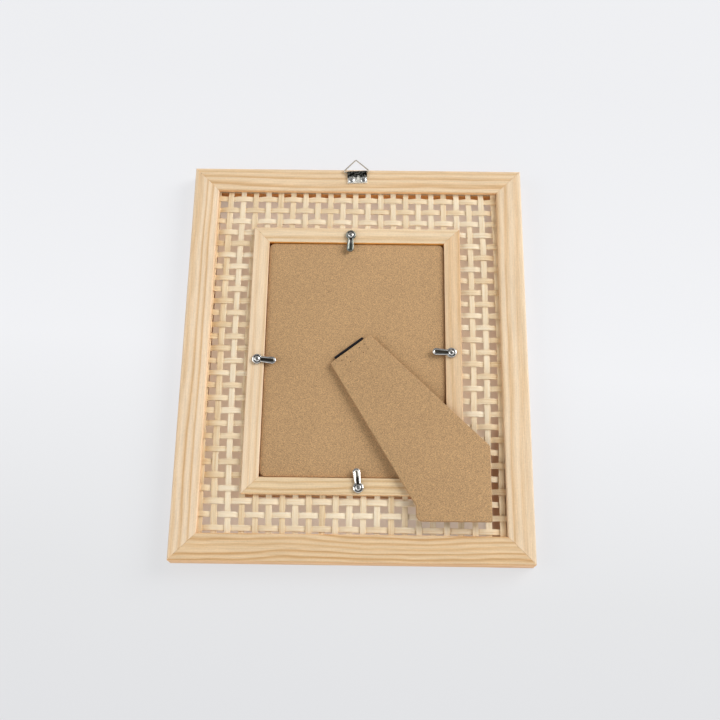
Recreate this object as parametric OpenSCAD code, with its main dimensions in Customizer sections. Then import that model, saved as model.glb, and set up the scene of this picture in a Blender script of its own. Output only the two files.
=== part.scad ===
// Wooden picture frame, lying on its front with the back up.
// Millimetres. +X is to the right seen from the back, +Y is the top of the frame and +Z is its back.
// The origin is on the surface the front rests on, under the middle of the whole outline, hanging ring included.

/* [Outer frame] */
// Width of the frame
frame_w = 250; // [230:1:300]
// Height of the frame
frame_h = 300; // [280:1:350]
// Depth of the outer rails, front to back
frame_depth = 15; // [14:0.5:22]
// Width of an outer rail
outer_rail_w = 19; // [16:0.5:24]
// Radius of the softened edges on the outer rails
outer_edge_r = 1.2; // [0.4:0.1:1.8]
// Depth of the groove that holds the weave in the outer rails
outer_groove = 4; // [3.5:0.1:5]

/* [Inner frame] */
// Width of the pocket that takes the glass, the picture and the board
pocket_w = 131; // [110:1:140]
// Height of the pocket
pocket_h = 180; // [160:1:190]
// Width of an inner rail on the back
inner_rail_w = 12; // [10:0.5:15]
// How far the front lip reaches in over the glass
lip_w = 4; // [3:0.5:6]
// How far the inner rails lie below the outer ones at the front
inner_front_set = 2; // [1:0.5:3]
// How far the inner rails lie below the outer ones at the back
inner_back_set = 0.5; // [0:0.1:1.5]
// How far the inner frame sits below the middle of the outer one
inner_low = 1.8; // [0:0.1:4]
// Radius of the softened edges on the inner rails
inner_edge_r = 0.8; // [0.3:0.1:1]
// Depth of the groove that holds the weave in the inner rails
inner_groove = 3; // [2.5:0.1:4]

/* [Weave] */
// Width of a strip
strip_w = 3.9; // [3:0.1:4.5]
// Thickness of a strip
strip_t = 0.8; // [0.6:0.05:1]
// Distance between neighbouring upright strips
upright_pitch = 9.6; // [8.5:0.1:12]
// Distance between neighbouring cross strips
cross_pitch = 9.37; // [8.5:0.01:12]
// How far the uprights lie left of the middle
upright_shift = 1.4; // [0:0.1:1.5]
// How far the cross strips lie below the middle
cross_shift = 0.7; // [0:0.1:1.5]
// Depth of the weave below the back of the outer rails
weave_set = 3; // [2.5:0.1:4]

/* [Glass, picture and board] */
// Thickness of the glass
glass_t = 2; // [1.5:0.1:3]
// Thickness of the picture card
picture_t = 0.5; // [0.2:0.1:1]
// Thickness of the backing board
board_t = 2.5; // [2:0.1:3]
// How far the board lies below the back of the inner rails
board_set = 1.8; // [0.4:0.1:2.4]
// Gap between the board and the pocket on each side
board_gap = 0.9; // [0.4:0.1:1.2]
// Radius of the board's corners
board_corner_r = 4; // [2:0.5:6]

/* [Strut] */
// Place of the hinge line's middle, right of the pocket's middle
hinge_x = -3.7; // [-8:0.1:4]
// Place of the hinge line's middle, above the pocket's middle
hinge_y = 5; // [0:0.1:10]
// Angle of the hinge line from the bottom edge
hinge_turn = 38.2; // [30:0.1:45]
// Width of the strut at its hinge end
strut_end_w = 36; // [32:0.5:42]
// Spread of each long edge from the strut's middle line, degrees
strut_spread = 7.5; // [5:0.5:9]
// Distance from the hinge end to the corner of the foot
strut_len = 159.8; // [130:0.1:163]
// How far that corner lies right of the strut's middle line
foot_aside = 0.5; // [-4:0.1:4]
// Length of the short edge that cuts off the end of the bottom foot
strut_cut_l = 10.8; // [8:0.1:14]
// Thickness of the strut
strut_t = 2.5; // [2:0.1:3]
// Angle at which the strut stands open from where it would lie on the inner rail
strut_ajar = 0.4; // [0.1:0.1:3]
// Radius of the corners at the hinge end
strut_end_r = 2; // [1.5:0.5:5]
// Radius of the corner at the end of the bottom foot
foot_end_r = 5; // [2:0.5:6]
// Radius of the corner at the end of the side foot
side_end_r = 2; // [1:0.5:6]
// Radius of the corner between the two feet
foot_corner_r = 1; // [0.5:0.5:4]
// Radius of the corner where the left long edge is cut off
strut_cut_r = 1.5; // [0.5:0.5:3]

/* [Strut hinge] */
// Length of the hinge
hinge_len = 25.4; // [22:0.2:28]
// Width of a hinge leaf
leaf_w = 12; // [11:0.5:15]
// Thickness of a hinge leaf
leaf_t = 0.35; // [0.3:0.05:0.45]
// Radius of the hinge barrel
barrel_r = 1; // [0.7:0.05:1.1]
// Radius of the hinge pin
hinge_pin_r = 0.35; // [0.3:0.01:0.4]
// Radius of a prong that is pressed through the board or the strut
prong_r = 0.3; // [0.2:0.05:0.4]
// Distance of each prong group's middle from the middle of the hinge
prong_group = 7.9; // [6.5:0.1:9]

/* [Turn buttons] */
// Radius of a button's round head
button_r = 3.8; // [3.5:0.1:4]
// Distance from a button's screw to the tip of its tongue
button_reach = 13.8; // [12:0.1:16]
// Width of the tongue at its round tip
tongue_w = 5.4; // [4:0.1:6]
// Width of the tongue at the screw
neck_w = 3.8; // [3:0.1:4.4]
// Thickness of a button's sheet
button_t = 0.8; // [0.6:0.1:1]
// Height of the rim that is pressed up all round a button
rim_h = 0.7; // [0.4:0.1:1]
// Width of that rim
rim_w = 1.1; // [0.6:0.1:1.2]
// Top button: place along its rail, right of the middle
top_button_x = -4.5; // [-20:0.1:20]
// Bottom button: place along its rail, right of the middle
bottom_button_x = 3.8; // [-10:0.1:8]
// Left button: place along its rail, above the middle
left_button_y = -3.7; // [-20:0.1:20]
// Right button: place along its rail, above the middle
right_button_y = 2.8; // [-8:0.1:20]
// Distance of the top screw from the pocket
top_button_in = 5.9; // [4.3:0.1:6.5]
// Distance of the bottom screw from the pocket
bottom_button_in = 7; // [4.3:0.1:7]
// Distance of the left screw from the pocket
left_button_in = 5; // [4.3:0.1:6.5]
// Distance of the right screw from the pocket
right_button_in = 4.3; // [4.3:0.1:6.5]
// Turn of the top button from square
top_button_turn = -2; // [-10:1:10]
// Turn of the bottom button from square
bottom_button_turn = 7; // [-10:1:10]
// Turn of the left button from square
left_button_turn = -5; // [-10:1:10]
// Turn of the right button from square
right_button_turn = -4; // [-10:1:10]

/* [Button screws] */
// Radius of a button screw's shank
button_shank_r = 1.2; // [1:0.1:1.4]
// Length of the shank in the wood
button_shank_l = 7; // [5:0.5:9]
// Radius of a button screw's head
button_head_r = 2.1; // [1.8:0.1:2.5]
// Height of a button screw's head
button_head_h = 1.4; // [1.1:0.1:1.8]

/* [Hanger] */
// Place of the hanger, right of the middle
hanger_x = -0.6; // [-20:0.1:20]
// Turn of the hanger from square
hanger_turn = 3; // [0:0.5:5]
// Distance of the ring's axis below the top edge
hanger_in = 2.8; // [2:0.1:4]
// Width of the hanger plate
plate_w = 15; // [13:0.5:17]
// Length of the plate below the ring's axis
plate_l = 9.3; // [9.2:0.1:12]
// Thickness of the doubled plate
plate_t = 1; // [0.8:0.1:1.2]
// Radius of the ring's wire
wire_r = 0.45; // [0.35:0.05:0.6]
// Thickness of the sheet rolled round the wire
roll_t = 0.5; // [0.4:0.05:0.6]
// Length of the slope from the rolled edge down to the plate
fold_l = 4; // [3:0.1:4.2]
// Angle between the ring's sides and its base
ring_angle = 44.5; // [42:0.5:60]
// Radius of the ring's bends beside the plate, at the middle of the wire
ring_bend_r = 1.1; // [0.7:0.05:1.2]
// Radius of the bend at the ring's peak
ring_peak_r = 0.6; // [0.6:0.05:0.8]
// How far the ring lies to the left in its plate
ring_slide = 0.5; // [0:0.1:0.5]
// Distance between the plate's screws
plate_screw_gap = 9.2; // [7:0.1:9.6]
// Distance of the plate's screws below the ring's axis
plate_screw_in = 6.7; // [6.5:0.1:7]
// Radius of a plate screw's head
plate_head_r = 2.4; // [1.8:0.1:2.5]
// Height of a plate screw's head
plate_head_h = 1.2; // [1:0.1:1.5]
// Radius of a plate screw's shank
plate_shank_r = 0.9; // [0.7:0.1:1.1]
// Length of the plate screws in the wood
plate_shank_l = 8; // [6:0.5:9]

/* [Corner nails] */
// Distance of a nail's point from the outer corner, along the joint
nail_in = 6; // [5.5:0.5:8]
// Length of each wing of a nail
nail_wing = 6; // [3:0.5:6.5]
// Angle of each wing from the joint
nail_spread = 8; // [6:1:20]
// Thickness of a nail's sheet
nail_t = 0.4; // [0.3:0.05:0.5]
// Height of a nail
nail_h = 6; // [5:0.5:7]

/* [Clearances] */
// Gap round a shank or prong in its hole
hole_fit = 0.05; // [0.03:0.01:0.08]
// Gap round a pin or a wire that turns in its bore
turn_fit = 0.04; // [0.02:0.01:0.08]
// Gap between a turn button and what it slides past
button_fit = 0.15; // [0.1:0.05:0.25]
// Gap between two strips where they cross
weave_fit = 0.1; // [0.05:0.05:0.2]
// Gap between the weave and the sides of its grooves
groove_fit = 0.15; // [0.1:0.05:0.3]
// Gap between a strip's end and the bottom of its groove
strip_end_fit = 0.5; // [0.3:0.1:0.6]
// Gap between two hinge knuckles, and between the two leaves
hinge_fit = 0.1; // [0.05:0.01:0.15]
// Gap between the strut and the inner rail that it would lie on
strut_fit = 0.15; // [0.1:0.05:0.3]
// Gap between the ring and the side of its plate
ring_fit = 0.65; // [0.55:0.05:0.8]

/* [Hidden] */
$fn = 48;

// Rounded corners of an outline are drawn with this many sides
arc_steps = 5;
// Cuts run this far past a face
past = 1;
// A strip stays flat this far past the edge of the one that it crosses
flat_past = 0.7;

// The turn of each side of a frame, from the bottom side
BOTTOM = 0;
RIGHT = 90;
TOP = 180;
LEFT = 270;

// Sizes that follow from the ones above
opening_w = frame_w - 2 * outer_rail_w;
opening_h = frame_h - 2 * outer_rail_w;
inner_w = pocket_w + 2 * inner_rail_w;
inner_h = pocket_h + 2 * inner_rail_w;
inner_back = frame_depth - inner_back_set;
board_back = inner_back - board_set;
board_front = board_back - board_t;
picture_front = board_front - picture_t;
glass_front = picture_front - glass_t;

weave_half_t = strip_t + weave_fit / 2;
weave_z = frame_depth - weave_set - weave_half_t;
groove_low = weave_z - weave_half_t - groove_fit;
groove_high = weave_z + weave_half_t + groove_fit;
upright_count = floor(opening_w / upright_pitch) + 1;
cross_count = floor(opening_h / cross_pitch) + 1;
upright_middle = floor(upright_count / 2);
cross_middle = floor(cross_count / 2);

// The hinge's leaves lie between the board and the strut
strut_front = board_back + 2 * leaf_t + hinge_fit;
barrel_z = board_back + barrel_r + hinge_fit / 2;
barrel_v = -(barrel_r + turn_fit + hinge_fit);
strut_taper = tan(strut_spread);
// From the hinge end, the strut's long edges first pass over the pocket's right side and its bottom this far on
strut_over_side = (pocket_w / 2 - hinge_x - strut_end_w / 2 * cos(hinge_turn))
    / (sin(hinge_turn) + strut_taper * cos(hinge_turn));
strut_over_bottom = (pocket_h / 2 + hinge_y - strut_end_w / 2 * sin(hinge_turn))
    / (cos(hinge_turn) + strut_taper * sin(hinge_turn));
strut_lift = strut_ajar + max(0, atan((inner_back + strut_fit - strut_front) / min(strut_over_side, strut_over_bottom)));
knuckle_count = 5;
knuckle_len = (hinge_len - (knuckle_count - 1) * hinge_fit) / knuckle_count;
// A group of prongs is a rectangle of this half width and half length, this far from the hinge end
prong_half_w = 2.2;
prong_half_l = 2.3;
prong_v = 6.2;
board_prong_l = 1.6;

button_front = inner_back + button_fit;
button_head_z = button_front + button_t + button_fit / 2;

roll_bore_r = wire_r + turn_fit;
roll_r = roll_bore_r + roll_t;
roll_z = frame_depth + roll_r;
ring_base = plate_w + 2 * ring_fit;
ring_corner_x = ring_base / 2 + ring_bend_r / tan(ring_angle / 2);
ring_peak_y = ring_corner_x * tan(ring_angle);
ring_peak_half = 90 - ring_angle;
ring_peak_bend_y = ring_peak_y - ring_peak_r / sin(ring_peak_half);
ring_split = 0.25;
// The wire is this much thicker in its bends, and its straight lengths run this far into them
bend_swell = 0.01;
bend_lap = 0.05;
ring_top_y = ring_peak_bend_y * cos(hanger_turn) - ring_slide * sin(hanger_turn) + ring_peak_r + wire_r + bend_swell;

// The whole outline's middle is the origin, so the frame's own middle lies below it
frame_y = -(ring_top_y - hanger_in) / 2;

// The cross recess in a screw's head
recess_w = 0.5;
recess_share = 0.62;
recess_depth = 0.6;
head_edge_h = 0.3;
// The recesses point this way on a button's screw and on the plate's
button_screw_turn = 45;
plate_screw_turn = 30;

// Outlines

function unit(v) = v / norm(v);

// The points of an arc that rounds the corner b between a and c
function corner_arc(a, b, c, r) =
    let (
        u = unit(a - b),
        w = unit(c - b),
        half = acos(u * w) / 2,
        middle = b + unit(u + w) * r / sin(half),
        start = b + u * r / tan(half) - middle,
        finish = b + w * r / tan(half) - middle,
        from = atan2(start[1], start[0]),
        swing = atan2(cross(start, finish), start * finish)
    )
    [for (k = [0 : arc_steps]) middle + r * [cos(from + swing * k / arc_steps), sin(from + swing * k / arc_steps)]];

// An outline with each corner rounded by its own radius
function rounded(points, radii) =
    let (n = len(points))
    [for (i = [0 : n - 1])
        each radii[i] > 0
            ? corner_arc(points[(i + n - 1) % n], points[i], points[(i + 1) % n], radii[i])
            : [points[i]]];

function rectangle(w, h) = [[-w / 2, -h / 2], [w / 2, -h / 2], [w / 2, h / 2], [-w / 2, h / 2]];

// Section of an outer rail: across from the frame's outer edge, and up
function outer_section() = rounded(
    [
        [0, 0], [outer_rail_w, 0],
        [outer_rail_w, groove_low], [outer_rail_w - outer_groove, groove_low],
        [outer_rail_w - outer_groove, groove_high], [outer_rail_w, groove_high],
        [outer_rail_w, frame_depth], [0, frame_depth]
    ],
    [outer_edge_r, outer_edge_r, 0, 0, 0, 0, outer_edge_r, outer_edge_r]
);

// Section of an inner rail: across from its outer side, and up
function inner_section() = rounded(
    [
        [0, inner_front_set], [inner_rail_w + lip_w, inner_front_set],
        [inner_rail_w + lip_w, glass_front], [inner_rail_w, glass_front],
        [inner_rail_w, inner_back], [0, inner_back],
        [0, groove_high], [inner_groove, groove_high],
        [inner_groove, groove_low], [0, groove_low]
    ],
    [inner_edge_r, inner_edge_r, 0, 0, inner_edge_r / 2, inner_edge_r, 0, 0, 0, 0]
);

// Places

module on_frame() translate([0, frame_y, 0]) children();
module on_pocket() translate([0, frame_y - inner_low, 0]) children();
// On one side of a frame, from the middle of that side's outer edge, with +Y inwards
module on_side(turn, across) rotate([0, 0, turn]) translate([0, -across / 2, 0]) children();
// On the strut's own lines: +X along the hinge, +Y from the hinge to the foot, +Z into the board
module on_strut() on_pocket() translate([hinge_x, hinge_y, 0]) rotate([180, 0, hinge_turn]) children();
// The same lines, turned with the strut round the hinge pin to where the strut rests
module on_lifted_strut()
    on_strut()
        translate([0, barrel_v, -barrel_z])
            rotate([-strut_lift, 0, 0])
                translate([0, -barrel_v, barrel_z])
                    children();
// On the hanger: +X along the ring's axis
module on_hanger() on_frame() translate([hanger_x, frame_h / 2 - hanger_in, 0]) rotate([0, 0, hanger_turn]) children();

// Shapes

// A rail with mitred ends, its outer edge on the X axis
module rail(length, width, section) {
    intersection() {
        translate([-length / 2, 0, 0]) rotate([90, 0, 90]) linear_extrude(length) polygon(section);
        linear_extrude(frame_depth)
            polygon([[-length / 2, 0], [length / 2, 0], [length / 2 - width, width], [width - length / 2, width]]);
    }
}

// A domed screw with a cross recess, its head's underside at the origin
module screw(head_r, head_h, shank_r, shank_l) {
    dome_h = head_h - head_edge_h;
    dome_r = (head_r * head_r + dome_h * dome_h) / (2 * dome_h);
    recess_l = 2 * head_r * recess_share;
    difference() {
        union() {
            intersection() {
                cylinder(r = head_r, h = head_h);
                translate([0, 0, head_h - dome_r]) sphere(dome_r);
            }
            translate([0, 0, -shank_l]) cylinder(r = shank_r, h = shank_l + head_edge_h);
        }
        for (turn = [0, 90])
            rotate([0, 0, turn])
                translate([-recess_l / 2, -recess_w / 2, head_h - recess_depth])
                    cube([recess_l, recess_w, recess_depth + past]);
    }
}

// The four V-shaped nails in the corners of a frame. Their slots are wider by grow, and run over the back.
module corner_nails(w, h, back, grow = 0, over = 0) {
    wing_t = nail_t + 2 * grow;
    for (x = [-1, 1], y = [-1, 1])
        translate([x * w / 2, y * h / 2, back - nail_h - grow])
            rotate([0, 0, atan2(-y, -x)])
                translate([nail_in - grow, 0, 0])
                    for (side = [-1, 1])
                        rotate([0, 0, side * nail_spread])
                            translate([0, -wing_t / 2, 0])
                                cube([nail_wing + 2 * grow, wing_t, nail_h + grow + over]);
}

module outer_rail(turn, length, across) {
    color("burlywood")
    difference() {
        on_frame() on_side(turn, across) rail(length, outer_rail_w, outer_section());
        on_frame() corner_nails(frame_w, frame_h, frame_depth, hole_fit, past);
        if (turn == TOP) plate_screw_holes();
    }
}

module inner_rail(turn, length, across, place, inset) {
    color("wheat")
    on_pocket()
    difference() {
        on_side(turn, across) rail(length, inner_rail_w + lip_w, inner_section());
        corner_nails(inner_w, inner_h, inner_back, hole_fit, past);
        on_side(turn, across)
            translate([place, inner_rail_w - inset, inner_back - button_shank_l - hole_fit])
                cylinder(r = button_shank_r + hole_fit, h = button_shank_l + past);
    }
}

// Weave

function upright_x(i) = -upright_shift + (i - (upright_count - 1) / 2) * upright_pitch;
function cross_y(j) = -cross_shift + (j - (cross_count - 1) / 2) * cross_pitch;

// The height of strip i where it crosses strip j: the two lie on opposite sides of the weave's middle.
// The pattern is counted from the middle strips, so that it stays in place when strips are added at the ends.
function crossing_z(i, j, sign) =
    ((i - upright_middle + j - cross_middle) % 2 == 0 ? -1 : 1) * sign * (strip_t + weave_fit) / 2;

// One side of a strip's outline from low to high, lifted by half: flat on each crossing, sloped between
function strip_line(low, high, places, heights, flat, lift) = [
    for (k = [0 : len(places) - 1])
        for (edge = [-flat / 2, flat / 2])
            let (at = places[k] + edge)
            if (at > low && at < high) [at, heights[k] + lift]
];

function end_height(at, places, heights, flat) =
    let (
        n = len(places),
        k = min(n - 2, max(0, floor((at - places[0]) / (places[1] - places[0])))),
        share = (at - places[k] - flat / 2) / (places[k + 1] - places[k] - flat)
    )
    heights[k] + (heights[k + 1] - heights[k]) * min(1, max(0, share));

// A strip from low to high, along Y, that weaves through the strips at the places given
module strip(low, high, places, heights) {
    flat = strip_w + 2 * flat_past;
    start_z = end_height(low, places, heights, flat);
    finish_z = end_height(high, places, heights, flat);
    top = concat(
        [[low, start_z + strip_t / 2]],
        strip_line(low, high, places, heights, flat, strip_t / 2),
        [[high, finish_z + strip_t / 2]]
    );
    under = concat(
        [[low, start_z - strip_t / 2]],
        strip_line(low, high, places, heights, flat, -strip_t / 2),
        [[high, finish_z - strip_t / 2]]
    );
    n = len(under);
    translate([-strip_w / 2, 0, weave_z])
        rotate([90, 0, 90])
            linear_extrude(strip_w)
                polygon(concat(top, [for (k = [n - 1 : -1 : 0]) under[k]]));
}

cross_places = [for (j = [0 : cross_count - 1]) cross_y(j)];
upright_places = [for (i = [0 : upright_count - 1]) upright_x(i)];

module upright(i, low, high) {
    translate([upright_x(i), 0, 0])
        strip(low, high, cross_places, [for (j = [0 : cross_count - 1]) crossing_z(i, j, 1)]);
}

module cross_strip(j, low, high) {
    translate([0, cross_y(j), 0])
        mirror([1, -1, 0])
            strip(low, high, upright_places, [for (i = [0 : upright_count - 1]) crossing_z(i, j, -1)]);
}

// Where the strips end: in the outer grooves, and in the inner ones
reach_x = opening_w / 2 + outer_groove - strip_end_fit;
reach_y = opening_h / 2 + outer_groove - strip_end_fit;
stop_x = inner_w / 2 - inner_groove + strip_end_fit;
stop_top = inner_h / 2 - inner_low - inner_groove + strip_end_fit;
stop_bottom = -inner_h / 2 - inner_low + inner_groove - strip_end_fit;

// A strip runs the whole way if it passes beside the inner frame, or inside its groove
function beside_left(i) = upright_x(i) + strip_w / 2 < -stop_x;
function beside_right(i) = upright_x(i) - strip_w / 2 > stop_x;
function above(j) = cross_y(j) - strip_w / 2 > stop_top;
function below(j) = cross_y(j) + strip_w / 2 < stop_bottom;

uprights = [0 : upright_count - 1];
crosses = [0 : cross_count - 1];

module upright_strips_left() {
    color("moccasin") on_frame() for (i = uprights) if (beside_left(i)) upright(i, -reach_y, reach_y);
}

module upright_strips_right() {
    color("moccasin") on_frame() for (i = uprights) if (beside_right(i)) upright(i, -reach_y, reach_y);
}

module upright_strips_top() {
    color("moccasin")
    on_frame()
    for (i = uprights) if (!beside_left(i) && !beside_right(i)) upright(i, stop_top, reach_y);
}

module upright_strips_bottom() {
    color("moccasin")
    on_frame()
    for (i = uprights) if (!beside_left(i) && !beside_right(i)) upright(i, -reach_y, stop_bottom);
}

module cross_strips_left() {
    color("moccasin")
    on_frame()
    for (j = crosses) if (!above(j) && !below(j)) cross_strip(j, -reach_x, -stop_x);
}

module cross_strips_right() {
    color("moccasin")
    on_frame()
    for (j = crosses) if (!above(j) && !below(j)) cross_strip(j, stop_x, reach_x);
}

module cross_strips_top() {
    color("moccasin") on_frame() for (j = crosses) if (above(j)) cross_strip(j, -reach_x, reach_x);
}

module cross_strips_bottom() {
    color("moccasin") on_frame() for (j = crosses) if (below(j)) cross_strip(j, -reach_x, reach_x);
}

// Rails and nails

module outer_rail_top() outer_rail(TOP, frame_w, frame_h);
module outer_rail_bottom() outer_rail(BOTTOM, frame_w, frame_h);
module outer_rail_left() outer_rail(LEFT, frame_h, frame_w);
module outer_rail_right() outer_rail(RIGHT, frame_h, frame_w);

module inner_rail_top() inner_rail(TOP, inner_w, inner_h, -top_button_x, top_button_in);
module inner_rail_bottom() inner_rail(BOTTOM, inner_w, inner_h, bottom_button_x, bottom_button_in);
module inner_rail_left() inner_rail(LEFT, inner_h, inner_w, -left_button_y, left_button_in);
module inner_rail_right() inner_rail(RIGHT, inner_h, inner_w, right_button_y, right_button_in);

module outer_corner_nails() color("gray") on_frame() corner_nails(frame_w, frame_h, frame_depth);
module inner_corner_nails() color("gray") on_pocket() corner_nails(inner_w, inner_h, inner_back);

// Glass, picture and board

module pocket_sheet(front, thickness) {
    w = pocket_w - 2 * board_gap;
    h = pocket_h - 2 * board_gap;
    on_pocket()
        translate([-w / 2, -h / 2, front])
            cube([w, h, thickness]);
}

module glass() color("lightcyan", 0.4) pocket_sheet(glass_front, glass_t);
module picture_card() color("white") pocket_sheet(picture_front, picture_t);

module backing_board() {
    w = pocket_w - 2 * board_gap;
    h = pocket_h - 2 * board_gap;
    color("peru")
    difference() {
        on_pocket()
            translate([0, 0, board_front])
                linear_extrude(board_t)
                    polygon(rounded(rectangle(w, h), [for (k = [0 : 3]) board_corner_r]));
        on_strut() prongs(board_back - board_prong_l, board_prong_l + past, hole_fit);
    }
}

// Strut and its hinge

// The prongs of a hinge leaf, on the strut's lines: two groups of four
module prongs(low, height, grow) {
    for (group = [-1, 1], x = [-1, 1], y = [-1, 1])
        translate([group * prong_group + x * prong_half_w, prong_v + y * prong_half_l, -low - height])
            cylinder(r = prong_r + grow, h = height);
}

// The strut's outline: the hinge end, two long edges that spread, and two feet square to the frame.
// The bottom foot ends in a cut that goes straight up to the long edge.
function strut_outline() =
    let (
        half = strut_end_w / 2,
        up = [sin(hinge_turn), -cos(hinge_turn)],
        foot = [foot_aside, strut_len],
        spread = half + strut_taper * strut_len,
        cut_aside = strut_cut_l * (sin(hinge_turn) - strut_taper * cos(hinge_turn)),
        side_l = (spread - foot_aside) / (sin(hinge_turn) + strut_taper * cos(hinge_turn)),
        base_l = (spread + foot_aside + cut_aside) / (cos(hinge_turn) + strut_taper * sin(hinge_turn)),
        foot_end = foot + base_l * [-cos(hinge_turn), -sin(hinge_turn)]
    )
    rounded(
        [[-half, 0], [half, 0], foot + side_l * up, foot, foot_end, foot_end + strut_cut_l * up],
        [strut_end_r, strut_end_r, side_end_r, foot_corner_r, foot_end_r, strut_cut_r]
    );

module strut() {
    color("tan")
    on_lifted_strut()
    difference() {
        translate([0, 0, -strut_front - strut_t]) linear_extrude(strut_t) polygon(strut_outline());
        prongs(strut_front - past, strut_t + 2 * past, hole_fit);
    }
}

// A leaf with its knuckles, on the strut's lines, between the heights low and low + leaf_t
module hinge_leaf(low, first) {
    plate_v = barrel_v + barrel_r + hinge_fit;
    difference() {
        union() {
            translate([-hinge_len / 2, plate_v, -low - leaf_t]) cube([hinge_len, leaf_w, leaf_t]);
            for (k = [first : 2 : knuckle_count - 1])
                translate([-hinge_len / 2 + k * (knuckle_len + hinge_fit), 0, 0]) {
                    translate([0, barrel_v, -barrel_z]) rotate([0, 90, 0]) cylinder(r = barrel_r, h = knuckle_len);
                    translate([0, barrel_v, -low - leaf_t]) cube([knuckle_len, plate_v - barrel_v + leaf_t, leaf_t]);
                }
        }
        translate([-hinge_len / 2 - past, barrel_v, -barrel_z])
            rotate([0, 90, 0])
                cylinder(r = hinge_pin_r + turn_fit, h = hinge_len + 2 * past);
    }
}

module hinge_board_leaf() {
    color("black")
    on_strut() {
        hinge_leaf(board_back, 0);
        prongs(board_back - board_prong_l + hole_fit, board_prong_l, 0);
    }
}

module hinge_strut_leaf() {
    color("black")
    on_lifted_strut() {
        hinge_leaf(strut_front - leaf_t, 1);
        prongs(strut_front - leaf_t / 2, strut_t + leaf_t / 2, 0);
    }
}

module hinge_pin() {
    color("black")
    on_strut()
        translate([-hinge_len / 2, barrel_v, -barrel_z])
            rotate([0, 90, 0])
                cylinder(r = hinge_pin_r, h = hinge_len);
}

// Turn buttons, each with its screw at the origin of its own lines and its tongue along +Y

module on_button(turn, place, inset, skew) {
    across = turn == TOP || turn == BOTTOM ? inner_h : inner_w;
    on_pocket() on_side(turn, across) translate([place, inner_rail_w - inset, 0]) rotate([0, 0, skew]) children();
}

// A round head and a tongue that widens to a round tip, each edge moved in by inset
module button_form(inset, height) {
    neck = neck_w / 2 - inset;
    tip = tongue_w / 2 - inset;
    tip_y = button_reach - tongue_w / 2;
    cylinder(r = button_r - inset, h = height);
    translate([0, tip_y, 0]) cylinder(r = tip, h = height);
    linear_extrude(height) polygon([[-neck, 0], [neck, 0], [tip, tip_y], [-tip, tip_y]]);
}

module turn_button(turn, place, inset, skew) {
    color("silver")
    on_button(turn, place, inset, skew)
    translate([0, 0, button_front])
    difference() {
        button_form(0, button_t + rim_h);
        translate([0, 0, button_t]) button_form(rim_w, rim_h + past);
        translate([0, 0, -past]) cylinder(r = button_shank_r + turn_fit, h = button_t + 2 * past);
    }
}

module turn_button_top() turn_button(TOP, -top_button_x, top_button_in, top_button_turn);
module turn_button_bottom() turn_button(BOTTOM, bottom_button_x, bottom_button_in, bottom_button_turn);
module turn_button_left() turn_button(LEFT, -left_button_y, left_button_in, left_button_turn);
module turn_button_right() turn_button(RIGHT, right_button_y, right_button_in, right_button_turn);

module turn_button_screw(turn, place, inset) {
    on_button(turn, place, inset, button_screw_turn)
        translate([0, 0, button_head_z])
            screw(button_head_r, button_head_h, button_shank_r, button_shank_l + button_head_z - inner_back);
}

module turn_button_screws() {
    color("silver") {
        turn_button_screw(TOP, -top_button_x, top_button_in);
        turn_button_screw(BOTTOM, bottom_button_x, bottom_button_in);
        turn_button_screw(LEFT, -left_button_y, left_button_in);
        turn_button_screw(RIGHT, right_button_y, right_button_in);
    }
}

// Hanger

module on_plate_screws() {
    on_hanger() for (side = [-1, 1]) translate([side * plate_screw_gap / 2, -plate_screw_in, 0]) children();
}

module plate_screw_holes() {
    on_plate_screws()
        translate([0, 0, frame_depth - plate_shank_l - hole_fit])
            cylinder(r = plate_shank_r + hole_fit, h = plate_shank_l + plate_t + 2 * past);
}

// The plate is doubled, and rolled round the ring's wire at its top
module hanger_plate() {
    color("lightsteelblue")
    difference() {
        on_hanger() {
            translate([-plate_w / 2, -plate_l, frame_depth]) cube([plate_w, plate_l, plate_t]);
            translate([-plate_w / 2, 0, roll_z]) rotate([0, 90, 0]) cylinder(r = roll_r, h = plate_w);
            translate([-plate_w / 2, 0, 0])
                rotate([90, 0, 90])
                    linear_extrude(plate_w)
                        polygon([
                            [0, frame_depth], [0, roll_z + roll_r],
                            [-fold_l, frame_depth + plate_t], [-fold_l, frame_depth]
                        ]);
        }
        on_hanger()
            translate([-plate_w / 2 - past, 0, roll_z])
                rotate([0, 90, 0])
                    cylinder(r = roll_bore_r, h = plate_w + 2 * past);
        plate_screw_holes();
    }
}

// A straight length of the ring's wire from a to b, that runs a little way into the bend at each end
module wire(a, b) {
    translate([a[0], a[1], 0])
        rotate([0, 90, atan2(b[1] - a[1], b[0] - a[0])])
            translate([0, 0, -bend_lap])
                cylinder(r = wire_r, h = norm(b - a) + 2 * bend_lap);
}

// A bend in the wire round its centre, from one angle on by a swing
module wire_bend(centre, radius, from, swing) {
    translate([centre[0], centre[1], 0])
        rotate([0, 0, from])
            rotate_extrude(angle = swing) translate([radius, 0]) circle(wire_r + bend_swell);
}

module hanger_ring() {
    corner_turn = 180 - ring_angle;
    side_normal = 90 - ring_angle;
    base_end = [ring_base / 2, 0];
    corner_centre = base_end + [0, ring_bend_r];
    side_start = corner_centre + ring_bend_r * [cos(side_normal), sin(side_normal)];
    peak_centre = [0, ring_peak_bend_y];
    side_end = peak_centre + ring_peak_r * [cos(side_normal), sin(side_normal)];
    color("silver")
    on_hanger()
    translate([-ring_slide, 0, roll_z])
    difference() {
        union() {
            wire([-base_end[0], 0], base_end);
            for (side = [0, 1])
                mirror([side, 0, 0]) {
                    wire_bend(corner_centre, ring_bend_r, -90, corner_turn);
                    wire(side_start, side_end);
                }
            wire_bend(peak_centre, ring_peak_r, side_normal, 2 * ring_angle);
        }
        translate([-ring_split / 2, ring_peak_bend_y, -past]) cube([ring_split, 2 * ring_peak_r + past, 2 * past]);
    }
}

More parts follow.
